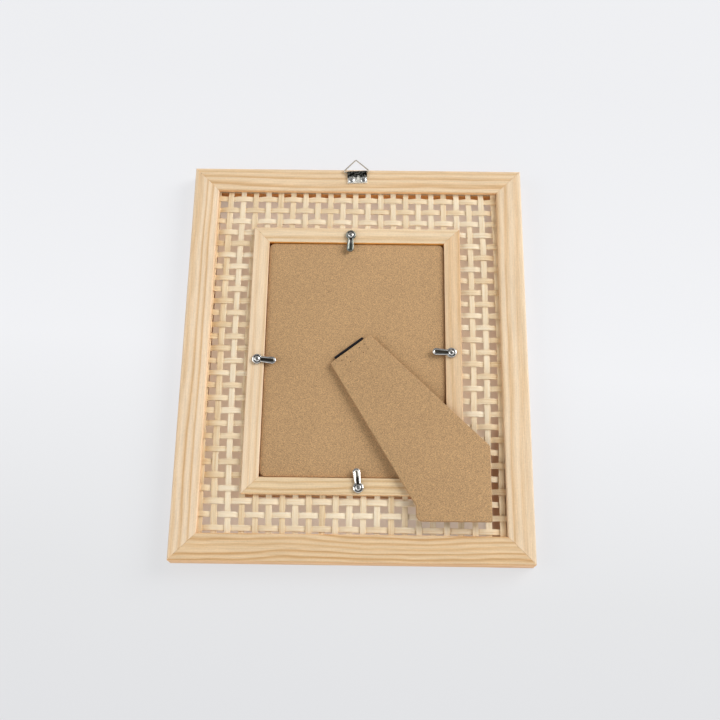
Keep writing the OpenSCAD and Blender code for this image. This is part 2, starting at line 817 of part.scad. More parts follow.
module hanger_screws() {
    color("silver")
    on_plate_screws()
        translate([0, 0, frame_depth + plate_t])
            rotate([0, 0, plate_screw_turn])
                screw(plate_head_r, plate_head_h, plate_shank_r, plate_shank_l + plate_t);
}

outer_rail_top();
outer_rail_bottom();
outer_rail_left();
outer_rail_right();
inner_rail_top();
inner_rail_bottom();
inner_rail_left();
inner_rail_right();
outer_corner_nails();
inner_corner_nails();
upright_strips_left();
upright_strips_right();
upright_strips_top();
upright_strips_bottom();
cross_strips_left();
cross_strips_right();
cross_strips_top();
cross_strips_bottom();
glass();
picture_card();
backing_board();
turn_button_top();
turn_button_bottom();
turn_button_left();
turn_button_right();
turn_button_screws();
hinge_board_leaf();
hinge_strut_leaf();
hinge_pin();
strut();
hanger_plate();
hanger_ring();
hanger_screws();
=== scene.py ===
"""A wooden picture frame with a woven band, seen from its back: its pieces, materials, light and camera."""
import bisect
import functools
import math
import random

import bpy
from mathutils import Matrix, Vector, noise


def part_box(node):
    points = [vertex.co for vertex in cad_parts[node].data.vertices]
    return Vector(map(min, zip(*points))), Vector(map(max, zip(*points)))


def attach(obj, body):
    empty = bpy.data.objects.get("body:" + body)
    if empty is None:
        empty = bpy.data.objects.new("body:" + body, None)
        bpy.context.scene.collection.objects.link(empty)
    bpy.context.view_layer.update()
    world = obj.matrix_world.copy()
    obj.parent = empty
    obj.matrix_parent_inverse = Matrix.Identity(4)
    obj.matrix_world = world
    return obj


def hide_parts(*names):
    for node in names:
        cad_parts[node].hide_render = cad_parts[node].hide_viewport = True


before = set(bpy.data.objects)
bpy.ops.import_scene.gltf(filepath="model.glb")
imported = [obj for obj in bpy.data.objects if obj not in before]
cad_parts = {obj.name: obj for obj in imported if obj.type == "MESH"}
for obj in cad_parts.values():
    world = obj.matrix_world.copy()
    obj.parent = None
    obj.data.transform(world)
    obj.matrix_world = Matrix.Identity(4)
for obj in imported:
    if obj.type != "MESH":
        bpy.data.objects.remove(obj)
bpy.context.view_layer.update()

MM = 0.001


def size_of(node):
    """The sizes of a fixed node's box in millimetres, to a thousandth."""
    low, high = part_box(node)
    return [round((b - a) / MM, 3) for a, b in zip(low, high)]


def levels_of(node):
    """The heights of a fixed node's lowest and highest points in millimetres, to a thousandth."""
    return [round(corner[2] / MM, 3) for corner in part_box(node)]


def middle_of(node):
    """The middle of a fixed node's box along Y, in millimetres."""
    low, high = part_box(node)
    return (low[1] + high[1]) / 2 / MM


# Sizes in millimetres that the boxes of the fixed model give
OUTER_W, FRAME_H, DEPTH = size_of("outer_rail_left")
FRAME_W = size_of("outer_rail_top")[0]
INNER_SIZE_W = size_of("inner_rail_top")[0]
INNER_SIZE_H = size_of("inner_rail_left")[1]
INNER_FRONT, INNER_BACK = levels_of("inner_rail_left")
STRIP_LOW, STRIP_HIGH = levels_of("cross_strips_top")
GLASS_FRONT = levels_of("glass")[0]
BOARD_FRONT, BOARD_BACK = levels_of("backing_board")
BUTTON_FRONT = levels_of("turn_button_top")[0]
FRAME_Y = middle_of("outer_rail_left")
POCKET_LOW = round(FRAME_Y - middle_of("inner_rail_left"), 3)

# Sizes in millimetres and degrees that repeat those of the fixed model
INNER_W, LIP = 12, 4
OUTER_EDGE_R, INNER_EDGE_R = 1.2, 0.8
OUTER_GROOVE, INNER_GROOVE, GROOVE_FIT = 4, 3, 0.15
STRIP_W, STRIP_T, STRIP_GAP, STRIP_END_FIT = 3.9, 0.8, 0.1, 0.5
UPRIGHTS, UPRIGHT_PITCH, UPRIGHT_SHIFT = 23, 9.6, 1.4
CROSSES, CROSS_PITCH, CROSS_SHIFT = 28, 9.37, 0.7
BOARD_CORNER_R = 4
HINGE_X, HINGE_Y, HINGE_TURN = -3.7, 5.0, 38.2
BARREL_V, BARREL_Z = -1.14, 13.75
STRUT_FRONT, STRUT_T, STRUT_LIFT = 13.5, 2.5, 1.26388
STRUT_END_W, STRUT_LEN, STRUT_SPREAD = 36, 159.8, 7.5
FOOT_ASIDE, STRUT_CUT_L = 0.5, 10.8
STRUT_END_R, SIDE_END_R, FOOT_CORNER_R, FOOT_END_R, STRUT_CUT_R = 2, 2, 1, 5, 1.5
PRONG_GROUP, PRONG_HALF_W, PRONG_HALF_L, PRONG_V = 7.9, 2.2, 2.3, 6.2
BUTTON_R, BUTTON_REACH, BUTTON_T, TONGUE_W, NECK_W = 3.8, 13.8, 0.8, 5.4, 3.8
# Each button's place along its rail, its distance from the pocket and its turn
BUTTONS = {"top": (4.5, 5.9, -2), "bottom": (3.8, 7, 7), "left": (3.7, 5, -5), "right": (2.8, 4.3, -4)}
HANGER_X, HANGER_IN, HANGER_TURN = -0.6, 2.8, 3
PLATE_W, PLATE_L, SHEET_T, ROLL_Z, FOLD_L = 15, 9.3, 0.5, 15.99, 4
PLATE_SCREW_GAP, PLATE_SCREW_IN = 9.2, 6.7
NAIL_IN, NAIL_WING, NAIL_SPREAD, NAIL_H = 6, 6, 8, 6

# Sizes in millimetres that only the scene has
RAIL_STEP, RAIL_DENT, POCKET_EDGE_R = 6, 0.03, 0.4
MITRE_GAP, MITRE_BEVEL = 0.03, 0.2
STRIP_STEP = 1.35
BOARD_GAP_W, BOARD_GAP_H = 0.6, 1.4
STRUT_DROP = 0.35
WIRE_HOLE_R = 0.49
PRONG_R = 0.4
NAIL_HALF, NAIL_DEEP = 0.07, 0.1
FLOOR_FAR = 3000

# Lengths that follow from those above
POCKET_W, POCKET_H = INNER_SIZE_W - 2 * INNER_W, INNER_SIZE_H - 2 * INNER_W
OPENING_W, OPENING_H = FRAME_W - 2 * OUTER_W, FRAME_H - 2 * OUTER_W
WEAVE_Z = (STRIP_LOW + STRIP_HIGH) / 2
GROOVE_LOW, GROOVE_HIGH = STRIP_LOW - GROOVE_FIT, STRIP_HIGH + GROOVE_FIT
# The ends of the strips in the outer rails' grooves, and in those of the inner rails
REACH_X = OPENING_W / 2 + OUTER_GROOVE - STRIP_END_FIT
REACH_Y = OPENING_H / 2 + OUTER_GROOVE - STRIP_END_FIT
STOP_X = INNER_SIZE_W / 2 - INNER_GROOVE + STRIP_END_FIT
STOP_TOP = INNER_SIZE_H / 2 - POCKET_LOW - INNER_GROOVE + STRIP_END_FIT
STOP_BOTTOM = -INNER_SIZE_H / 2 - POCKET_LOW + INNER_GROOVE - STRIP_END_FIT
UPRIGHT_X = [-UPRIGHT_SHIFT + (i - (UPRIGHTS - 1) / 2) * UPRIGHT_PITCH for i in range(UPRIGHTS)]
CROSS_Y = [-CROSS_SHIFT + (j - (CROSSES - 1) / 2) * CROSS_PITCH for j in range(CROSSES)]


def turned(degrees, axis="Z"):
    return Matrix.Rotation(math.radians(degrees), 4, axis)


def moved(x, y, z=0):
    return Matrix.Translation((x, y, z))


# Places of the parts in millimetres
TURNS = {"bottom": 0, "right": 90, "top": 180, "left": 270}
ON_FRAME = moved(0, FRAME_Y)
ON_POCKET = moved(0, FRAME_Y - POCKET_LOW)
ON_HANGER = ON_FRAME @ moved(HANGER_X, FRAME_H / 2 - HANGER_IN) @ turned(HANGER_TURN)
# The strut's own Z axis points into the board. It rests open by a small angle round its hinge's barrel.
OPENED = moved(0, BARREL_V, -BARREL_Z) @ turned(-STRUT_LIFT, "X") @ moved(0, -BARREL_V, BARREL_Z)
ON_STRUT = ON_POCKET @ moved(HINGE_X, HINGE_Y) @ turned(HINGE_TURN) @ turned(180, "X") @ OPENED


def eased(value, start, end):
    """A share that grows smoothly from 0 at start to 1 at end."""
    share = min(1, max(0, (value - start) / (end - start)))
    return share * share * (3 - 2 * share)


def rounded(points, radii, steps=6):
    """The corners of an outline rounded, each by its own radius."""
    out = []
    for i, (point, radius) in enumerate(zip(points, radii)):
        corner = Vector(point)
        if radius <= 0:
            out.append(corner)
            continue
        u = (Vector(points[i - 1]) - corner).normalized()
        w = (Vector(points[(i + 1) % len(points)]) - corner).normalized()
        half = math.acos(u.dot(w)) / 2
        middle = corner + (u + w).normalized() * radius / math.sin(half)
        start = corner + u * radius / math.tan(half) - middle
        finish = corner + w * radius / math.tan(half) - middle
        first = math.atan2(start.y, start.x)
        swing = math.atan2(start.x * finish.y - start.y * finish.x, start.dot(finish))
        for k in range(steps + 1):
            angle = first + swing * k / steps
            out.append(middle + radius * Vector((math.cos(angle), math.sin(angle))))
    return out


def shrunk(outline, by):
    """An outline that runs anticlockwise, moved inwards."""
    out = []
    for i, point in enumerate(outline):
        before = (point - outline[i - 1]).normalized()
        after = (outline[(i + 1) % len(outline)] - point).normalized()
        normal = Vector((-before.y - after.y, before.x + after.x))
        if normal.length < 1e-6:
            normal = Vector((-after.y, after.x))
        normal.normalize()
        share = max(0.3, normal.dot(Vector((-after.y, after.x))))
        out.append(point + normal * by / share)
    return out


class Shape:
    """Points in millimetres and faces, gathered from rings and made into one object."""

    def __init__(self):
        self.points = []
        self.faces = []
        self.facts = []

    def rings(self, rings, facts=None):
        """Joins closed rings of equally many points, one to the next, and caps the first and the last."""
        start = len(self.points)
        n = len(rings[0])
        for k, ring in enumerate(rings):
            self.points += [Vector(p) for p in ring]
            self.facts += facts[k] if facts else [(0, 0, 0)] * n
        for k in range(len(rings) - 1):
            a, b = start + k * n, start + (k + 1) * n
            for i in range(n):
                j = (i + 1) % n
                self.faces.append((a + i, a + j, b + j, b + i))
        self.faces.append(tuple(start + i for i in reversed(range(n))))
        self.faces.append(tuple(start + (len(rings) - 1) * n + i for i in range(n)))

    def finish(self, name, material, body, nodes, slot, place=Matrix.Identity(4), sharp=35):
        """Makes the object, puts it in its place, and lets it stand for its nodes of the fixed model."""
        mesh = bpy.data.meshes.new(name)
        mesh.from_pydata([p * MM for p in self.points], [], self.faces)
        mesh.validate()
        if any(f != (0, 0, 0) for f in self.facts):
            attribute = mesh.attributes.new("fibre", "FLOAT_VECTOR", "POINT")
            attribute.data.foreach_set("vector", [c for f in self.facts for c in f])
        mesh.shade_smooth()
        mesh.set_sharp_from_angle(angle=math.radians(sharp))
        mesh.materials.append(material)
        piece = bpy.data.objects.new(name, mesh)
        bpy.context.scene.collection.objects.link(piece)
        in_metres = place.copy()
        in_metres.translation = in_metres.translation * MM
        piece.matrix_world = in_metres
        bpy.context.view_layer.update()
        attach(piece, body)
        if nodes:
            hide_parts(*nodes)
        return piece


# Helpers for the materials

def rgb(r, g, b):
    """A colour that is written as it looks on the screen, 0 to 255, as the shader wants it."""
    shares = (c / 255 for c in (r, g, b))
    return tuple(((c + 0.055) / 1.055) ** 2.4 if c > 0.04 else c / 12.92 for c in shares) + (1,)


def new_material(name, **values):
    """A material, its nodes and its shader, whose sockets get the values."""
    material = bpy.data.materials.new(name)
    material.use_nodes = True
    shader = material.node_tree.nodes["Principled BSDF"]
    for socket, value in values.items():
        shader.inputs[socket.replace("_", " ")].default_value = value
    return material, material.node_tree, shader


def add(tree, kind, inputs=None, **settings):
    """A new node with its settings, and with its inputs linked or set."""
    made = tree.nodes.new(kind)
    for name, value in settings.items():
        setattr(made, name, value)
    for name, value in (inputs or {}).items():
        if isinstance(value, bpy.types.NodeSocket):
            tree.links.new(value, made.inputs[name])
        else:
            made.inputs[name].default_value = value
    return made


def calc(tree, operation, *values):
    return add(tree, "ShaderNodeMath", dict(enumerate(values)), operation=operation).outputs[0]


def linear(tree, value, slope, start):
    """The value times the slope, plus the start."""
    return calc(tree, "MULTIPLY_ADD", value, slope, start)


def centred(tree, value):
    return calc(tree, "SUBTRACT", value, 0.5)


def axes_of(tree, vector):
    return add(tree, "ShaderNodeSeparateXYZ", {0: vector}).outputs


def grainy(tree, vector, scale, detail=2, roughness=0.5):
    """Noise that is stretched by the scale of each axis, around 0.5."""
    mapped = add(tree, "ShaderNodeMapping", {"Vector": vector, "Scale": scale}).outputs[0]
    inputs = {"Vector": mapped, "Scale": 1.0, "Detail": detail, "Roughness": roughness}
    return add(tree, "ShaderNodeTexNoise", inputs).outputs["Fac"]


def own_number(tree, value):
    """A number from 0 to 1 that is always the same for the same value."""
    return add(tree, "ShaderNodeTexWhiteNoise", {"W": value}, noise_dimensions="1D").outputs[0]


def ramp(tree, value, stops):
    """The colour between the stops that belongs to the value."""
    made = add(tree, "ShaderNodeValToRGB", {"Fac": value})
    elements = made.color_ramp.elements
    while len(elements) < len(stops):
        elements.new(0.5)
    for element, (place, colour) in zip(elements, stops):
        element.position = place
        element.color = colour
    return made.outputs["Color"]


def grey_ramp(tree, value, stops):
    return ramp(tree, value, [(place, (level, level, level, 1)) for place, level in stops])


def shade(tree, colour, value, strength):
    """The colour made lighter or darker round a value of 0.5."""
    factor = linear(tree, centred(tree, value), strength, 1.0)
    if isinstance(colour, tuple):
        colour = colour[:3]
    return add(tree, "ShaderNodeVectorMath", {0: colour, "Scale": factor}, operation="SCALE").outputs[0]


def tinted(tree, colour, tint):
    return add(tree, "ShaderNodeVectorMath", {0: colour, 1: tint}, operation="MULTIPLY").outputs[0]


def blend(tree, share, first, second):
    """The first colour where the share is 0, and the second where it is 1."""
    return add(tree, "ShaderNodeMix", {0: share, 6: first, 7: second}, data_type="RGBA").outputs[2]


def steepness(tree, stops):
    """A share from the stops, which start at 0 for an upright face and end at 1 for a flat one."""
    normal = add(tree, "ShaderNodeNewGeometry").outputs["Normal"]
    return grey_ramp(tree, calc(tree, "ABSOLUTE", axes_of(tree, normal)[2]), stops)


def bump(tree, shader, height, distance, strength):
    """Fine relief from the height, with its distance in millimetres."""
    made = add(tree, "ShaderNodeBump", {"Height": height, "Distance": distance * MM, "Strength": strength})
    tree.links.new(made.outputs[0], shader.inputs["Normal"])


def paint(tree, shader, colour):
    tree.links.new(colour, shader.inputs["Base Color"])


def roughen(tree, shader, roughness):
    tree.links.new(roughness, shader.inputs["Roughness"])


def in_millimetres(tree, shift=(0, 0, 0)):
    """The place on the object in millimetres, moved by the shift."""
    place = add(tree, "ShaderNodeTexCoord").outputs["Object"]
    inputs = {"Vector": place, "Scale": (1 / MM, 1 / MM, 1 / MM), "Location": shift}
    return add(tree, "ShaderNodeMapping", inputs).outputs[0]


# Wood, cane and board

PINE_TONES = [(0.0, rgb(241, 216, 179)), (0.4, rgb(231, 199, 154)), (1.0, rgb(209, 163, 108))]
# How dark a growth ring is from its start to its end
RING_TONES = [(0.0, 0.5), (0.13, 0.14), (0.32, 0.0), (0.55, 0.2), (0.75, 0.62), (0.9, 0.9), (1.0, 0.5)]
GRAIN = {
    "outer_top": dict(
        seed=1, pitch=5.6, phase=1.5, slant=0.45, warp=5.0, contrast=0.8, tint=(1.01, 0.99, 1)),
    "outer_bottom": dict(
        seed=2, pitch=4.2, phase=3.0, slant=0.55, warp=12.0, contrast=0.95, tint=(0.95, 0.9, 0.85)),
    "outer_left": dict(
        seed=3, pitch=5.3, phase=0.4, slant=0.4, warp=6.0, contrast=0.8, tint=(1.05, 1.07, 1.17)),
    "outer_right": dict(
        seed=4, pitch=7.2, phase=2.2, slant=0.4, warp=6.0, contrast=0.65, tint=(1.03, 1.04, 1.11)),
    "inner_top": dict(
        seed=5, pitch=4.6, phase=1.0, slant=0.3, warp=5.0, contrast=0.6, tint=(1.03, 1.05, 1.1)),
    "inner_bottom": dict(
        seed=6, pitch=4.2, phase=2.0, slant=0.3, warp=7.0, contrast=0.75, tint=(0.98, 0.97, 0.94)),
    "inner_left": dict(
        seed=7, pitch=6.0, phase=3.0, slant=0.3, warp=5.0, contrast=0.55, tint=(1.07, 1.08, 1.15)),
    "inner_right": dict(
        seed=8, pitch=7.0, phase=1.0, slant=0.3, warp=6.0, contrast=0.6, tint=(0.95, 0.89, 0.85)),
}
# How the short rails and the long rails are browned where they are saw-cut. This is partly the wood's own
# colour and partly painted shading: painted shade on the long rails, and on the short rails painted light
# and shade that turn their walls a brighter, more saturated orange
SAWN_AND_PAINTED_SHADING_SHORT, SAWN_AND_PAINTED_SHADE_LONG = (1.2, 0.65, 0.1), (0.52, 0.27, 0.11)
# How much of that their sides get: inside is for those that face the opening below a level, where it is
# mostly painted shade on the walls below the weave and in the pocket
SIDES = {
    "outer": dict(outside=0.3, inside=0.75, painted_shade_below=WEAVE_Z),
    "inner": dict(outside=0.35, inside=0.9, painted_shade_below=INNER_BACK - 0.2),
}


def growth_rings(tree, place, across, pitch, warp):
    """How dark the growth rings are: they waver, and each has its own strength."""
    wavers = (((0.009, 0.03, 0.03), 1, warp), ((0.035, 0.12, 0.12), 1, warp * 0.22),
              ((0.002, 0.16, 0.16), 0, 6.0))
    for scale, detail, reach in wavers:
        waver = centred(tree, grainy(tree, place, scale, detail=detail))
        across = linear(tree, waver, reach, across)
    ring = calc(tree, "DIVIDE", across, pitch)
    dark = grey_ramp(tree, calc(tree, "FRACT", ring), RING_TONES)
    strength = linear(tree, own_number(tree, calc(tree, "FLOOR", ring)), 0.5, 0.6)
    return calc(tree, "MULTIPLY", dark, strength)


def pine(name, sawn_and_shade_tint, outside, inside, painted_shade_below, seed, pitch, phase, slant, warp, contrast, tint):
    """Straight-grained pine with its growth rings along X, and saw-cut sides that are browner than its face:
    partly the wood's own colour, partly painted shade and light, most of it on the walls that face the
    opening below a level.
    """
    material, tree, shader = new_material(name, Roughness=0.55, Coat_Weight=0.08, Coat_Roughness=0.4)
    shift = (seed * 97.0, 0, seed * 13.0)
    past_outer_edge = 1.3
    place = in_millimetres(tree, shift)
    axes = axes_of(tree, place)
    level = calc(tree, "SUBTRACT", axes[2], shift[2])
    across = calc(tree, "ADD", axes[1], linear(tree, level, slant, phase))
    rings = growth_rings(tree, place, across, pitch, warp)
    streaks = grainy(tree, place, (0.016, 0.75, 0.75), detail=3, roughness=0.7)
    dark = linear(tree, centred(tree, streaks), 0.9, calc(tree, "MULTIPLY", rings, contrast))
    fibre = grainy(tree, place, (0.06, 1.1, 1.1), detail=3, roughness=0.65)
    colour = shade(tree, ramp(tree, dark, PINE_TONES), fibre, 0.4)
    colour = shade(tree, colour, grainy(tree, place, (0.012, 0.07, 0.07)), 0.2)
    colour = shade(tree, colour, grainy(tree, place, (0.8, 1.1, 1.1)), 0.2)
    colour = tinted(tree, colour, tint)
    inner = calc(tree, "GREATER_THAN", axes[1], past_outer_edge)
    shaded_wall_mask = calc(tree, "MULTIPLY", inner, calc(tree, "LESS_THAN", level, painted_shade_below))
    # Painted shade and light on the steep sides, strongest on the walls that face the opening below a level
    side = steepness(tree, [(0.0, 1.0), (0.6, 0.7), (0.96, 0.0)])
    side = calc(tree, "MULTIPLY", side, linear(tree, shaded_wall_mask, inside - outside, outside))
    paint(tree, shader, blend(tree, side, colour, tinted(tree, colour, sawn_and_shade_tint)))
    bump(tree, shader, fibre, 0.05, 0.5)
    return material


CANE_TONES = [(0.0, rgb(223, 191, 145)), (0.5, rgb(245, 223, 187)), (1.0, rgb(254, 240, 214))]
# Painted shade that browns the strips beside the long rails, where the rails shade them
CANE_PAINTED_SHADE = (0.95, 0.85, 0.72)


def cane():
    """Smooth split strips: each its own tone, with fine streaks, and painted shade that browns them beside
    the long rails.
    """
    material, tree, shader = new_material("cane", Roughness=0.5, Coat_Weight=0.06, Coat_Roughness=0.35)
    place = add(tree, "ShaderNodeAttribute", attribute_name="fibre").outputs["Vector"]
    streak = grainy(tree, place, (0.035, 2.1, 1), detail=3, roughness=0.65)
    own = own_number(tree, axes_of(tree, place)[2])
    tone = linear(tree, centred(tree, own), 0.55, 0.55)
    tone = linear(tree, centred(tree, streak), 2.2, tone)
    patch = grainy(tree, place, (0.06, 0.3, 1))
    colour = shade(tree, ramp(tree, tone, CANE_TONES), patch, 0.25)
    # Painted shade beside the long rails, by the distance from the middle across the opening
    across = calc(tree, "ABSOLUTE", axes_of(tree, in_millimetres(tree))[0])
    beside = grey_ramp(tree, calc(tree, "DIVIDE", across, OPENING_W / 2), [(0.9, 0), (0.97, 1)])
    paint(tree, shader, blend(tree, beside, colour, tinted(tree, colour, CANE_PAINTED_SHADE)))
    bump(tree, shader, streak, 0.06, 0.5)
    return material


# The colours of the board's and the strut's faces, and of their cut edges
FIBREBOARD, BOARD_EDGE, STRUT_EDGE = (192, 155, 111), (150, 112, 74), (176, 138, 98)


def fibreboard(name, seed, light, edge):
    """Bare brown board with a fine speckle of pressed fibres and a cut edge of its own colour."""
    material, tree, shader = new_material(name, Roughness=0.85)
    place = in_millimetres(tree, (seed * 31.0, seed * 17.0, 0))
    fine = grainy(tree, place, (2.1, 2.1, 2.1), detail=1, roughness=0.8)
    strands = grainy(tree, place, (0.8, 1.2, 1.2), detail=3, roughness=0.7)
    broad = grainy(tree, place, (0.03, 0.03, 0.03))
    colour = tuple(c * light for c in rgb(*FIBREBOARD)[:3])
    for marks, strength in ((fine, 1.9), (strands, 0.5), (broad, 0.14)):
        colour = shade(tree, colour, marks, strength)
    side = steepness(tree, [(0.3, 0.8), (0.93, 0.0)])
    paint(tree, shader, blend(tree, side, colour, rgb(*edge)))
    bump(tree, shader, fine, 0.12, 0.7)
    return material


# Metal, glass and card

# A painted dark reflection that the buttons' trays take
PAINTED_DARK_REFLECTION = (88, 82, 74)
EVEN_TRAY = [(0.0, rgb(*PAINTED_DARK_REFLECTION)), (1.0, rgb(104, 98, 88))]
# The colours along the tray of each button, from the middle of its head at 0 to its tip at 1: painted dark
# reflections, and on the top and bottom buttons painted bright reflections
TRAYS = {
    "top": [(0.25, rgb(*PAINTED_DARK_REFLECTION)), (0.32, rgb(196, 196, 190)), (0.45, rgb(180, 180, 172)),
            (0.52, rgb(112, 118, 112))],
    "bottom": [(0.5, rgb(*PAINTED_DARK_REFLECTION)), (0.62, rgb(206, 202, 192))],
    "left": EVEN_TRAY,
    "right": EVEN_TRAY,
}


def metal(name, colour, roughness, scratch=0.1, mottle=0.35, grain=0.7):
    """Plated or bare metal, its colour and roughness uneven in fine marks."""
    material, tree, shader = new_material(name, Metallic=1.0)
    place = in_millimetres(tree)
    marks = grainy(tree, place, (2.6, 2.6, 2.6), detail=3)
    patches = grainy(tree, place, (grain, grain, grain))
    roughen(tree, shader, linear(tree, marks, scratch, roughness - scratch / 2))
    paint(tree, shader, shade(tree, rgb(*colour), patches, mottle))
    bump(tree, shader, marks, 0.03, 0.4)
    return material


def tray_metal(name, stops):
    """Plate whose colour changes along a button, in uneven blots of painted dark and bright reflection."""
    material, tree, shader = new_material(name, Metallic=1.0)
    place = in_millimetres(tree)
    along = calc(tree, "DIVIDE", axes_of(tree, place)[1], BUTTON_REACH)
    blots = grainy(tree, place, (0.9, 0.9, 0.9), detail=3, roughness=0.7)
    share = linear(tree, centred(tree, blots), 0.25, along)
    paint(tree, shader, shade(tree, ramp(tree, share, stops), blots, 1.4))
    roughen(tree, shader, linear(tree, blots, 0.3, 0.2))
    bump(tree, shader, blots, 0.06, 0.5)
    return material


def fold_dark_plate(name):
    """Plate that is bright at its screws, and black and speckled round its fold."""
    material, tree, shader = new_material(name, Metallic=1.0)
    place = in_millimetres(tree)
    along = linear(tree, axes_of(tree, place)[1], -0.16, -0.35)
    blots = grainy(tree, place, (0.6, 0.6, 0.6), detail=3, roughness=0.7)
    share = grey_ramp(tree, linear(tree, centred(tree, blots), 1.6, along), [(0.2, 0), (0.45, 1)])
    specks = grainy(tree, place, (1.3, 1.3, 1.3))
    dark = ramp(tree, specks, [(0.5, rgb(44, 42, 38)), (0.66, rgb(176, 176, 168))])
    clean = shade(tree, rgb(242, 240, 233), specks, 0.9)
    paint(tree, shader, blend(tree, share, dark, clean))
    roughen(tree, shader, linear(tree, share, 0.3, calc(tree, "MULTIPLY", specks, 0.6)))
    bump(tree, shader, specks, 0.25, 0.8)
    return material


def black_lacquer():
    material, tree, shader = new_material("hinge_black", Roughness=0.55, Specular_IOR_Level=0.25)
    marks = grainy(tree, in_millimetres(tree), (0.9, 0.9, 0.9))
    paint(tree, shader, ramp(tree, marks, [(0.3, rgb(14, 16, 24)), (0.7, rgb(26, 28, 36))]))
    return material


def clear_glass():
    material, tree, shader = new_material("glass", Roughness=0.02, Transmission_Weight=1.0, IOR=1.5)
    tint = grainy(tree, in_millimetres(tree), (0.01, 0.01, 0.01))
    paint(tree, shader, ramp(tree, tint, [(0, rgb(240, 250, 247)), (1, rgb(246, 252, 250))]))
    return material


def plain_card():
    material, tree, shader = new_material("card", Roughness=0.85)
    fibre = grainy(tree, in_millimetres(tree), (0.9, 0.9, 0.9), detail=3)
    paint(tree, shader, shade(tree, rgb(238, 237, 232), fibre, 0.06))
    return material


# Rails

OUTER_SECTION = rounded(
    [(0, 0), (OUTER_W, 0), (OUTER_W, GROOVE_LOW), (OUTER_W - OUTER_GROOVE, GROOVE_LOW),
     (OUTER_W - OUTER_GROOVE, GROOVE_HIGH), (OUTER_W, GROOVE_HIGH), (OUTER_W, DEPTH), (0, DEPTH)],
    [OUTER_EDGE_R, OUTER_EDGE_R, 0, 0, 0, 0, OUTER_EDGE_R, OUTER_EDGE_R])
INNER_SECTION = rounded(
    [(0, INNER_FRONT), (INNER_W + LIP, INNER_FRONT), (INNER_W + LIP, GLASS_FRONT), (INNER_W, GLASS_FRONT),
     (INNER_W, INNER_BACK), (0, INNER_BACK), (0, GROOVE_HIGH), (INNER_GROOVE, GROOVE_HIGH),
     (INNER_GROOVE, GROOVE_LOW), (0, GROOVE_LOW)],
    [INNER_EDGE_R, INNER_EDGE_R, 0, 0, POCKET_EDGE_R, INNER_EDGE_R, 0, 0, 0, 0])


def number_of(word):
    """A number that differs from word to word."""
    return sum(ord(letter) for letter in word) * 0.37


def rail(kind, side):
    """A rail with mitred ends that are slightly bevelled. Its outer edge is on the X axis."""
    if kind == "outer":
        section, place, w, h = OUTER_SECTION, ON_FRAME, FRAME_W, FRAME_H
    else:
        section, place, w, h = INNER_SECTION, ON_POCKET, INNER_SIZE_W, INNER_SIZE_H
    short = side in ("top", "bottom")
    length, apart = (w, h) if short else (h, w)
    count = round(length / RAIL_STEP)
    rings = []
    for k in range(count + 1):
        share = 2 * k / count - 1
        ring = []
        for point in section:
            x = share * (length / 2 - point.x - MITRE_GAP - MITRE_BEVEL)
            unevenness = noise.noise(Vector((x * 0.15, point.x + number_of(side), point.y * 0.6)))
            dent = RAIL_DENT * (1 + unevenness)
            ring.append((x, point.x, point.y - dent * point.y / DEPTH))
        rings.append(ring)
    bevelled = shrunk(section, MITRE_BEVEL * 0.8)
    ends = [[(sign * (length / 2 - p.x - MITRE_GAP), p.x, p.y) for p in bevelled] for sign in (-1, 1)]
    shape = Shape()
    shape.rings([ends[0]] + rings + [ends[1]])
    wood = pine("pine_%s_%s" % (kind, side), SAWN_AND_PAINTED_SHADING_SHORT if short else SAWN_AND_PAINTED_SHADE_LONG,
                **SIDES[kind], **GRAIN[kind + "_" + side])
    node = kind + "_rail_" + side
    shape.finish(node + "_wood", wood, "frame", [node], "pine",
                 place @ turned(TURNS[side]) @ moved(0, -apart / 2))


# Weave

# A strip's section: its half width and half thickness at points round it
STRIP_SECTION = [
    (1.0, 0.0), (0.99, 0.62), (0.94, 0.87), (0.55, 0.98), (0.0, 1.0), (-0.55, 0.98), (-0.94, 0.87),
    (-0.99, 0.62), (-1.0, 0.0), (-0.99, -0.62), (-0.94, -0.87), (0.0, -1.0), (0.94, -0.87), (0.99, -0.62)]
# The strips' numbers, which settle their random draws: where each kind starts, and what a second part adds
UPRIGHT_NUMBER, CROSS_NUMBER, SECOND_PART = 1, 101, 50


def upright_stray(x, y):
    """How far to the right of its even place an upright runs there."""
    reach = y / 100
    left = -0.25 - 0.62 * reach + 1.07 * reach * reach
    right = max(-0.7, 1.05 - 1.25 * (reach - 0.25) ** 2)
    middle = -0.7 * eased(-y, 60, 110)
    left_share, right_share = eased(-x, 0, 85), eased(x, 60, 90)
    return left * left_share + right * right_share + middle * (1 - left_share - right_share)


def cross_stray(x, y):
    """How far below its even place a cross strip runs there."""
    return 0.6 + 0.003 * x - 0.55 * eased(-y, 95, 112)


def strip_height(at, places, signs):
    """A strip's height over the middle of the weave: nearly flat on each crossing, and smooth between."""
    k = min(len(places) - 2, max(0, bisect.bisect(places, at) - 1))
    share = (at - places[k]) / (places[k + 1] - places[k])
    wave = math.sin(math.pi / 2 * math.cos(math.pi * share))
    return signs[k] * wave * (STRIP_T + STRIP_GAP) / 2


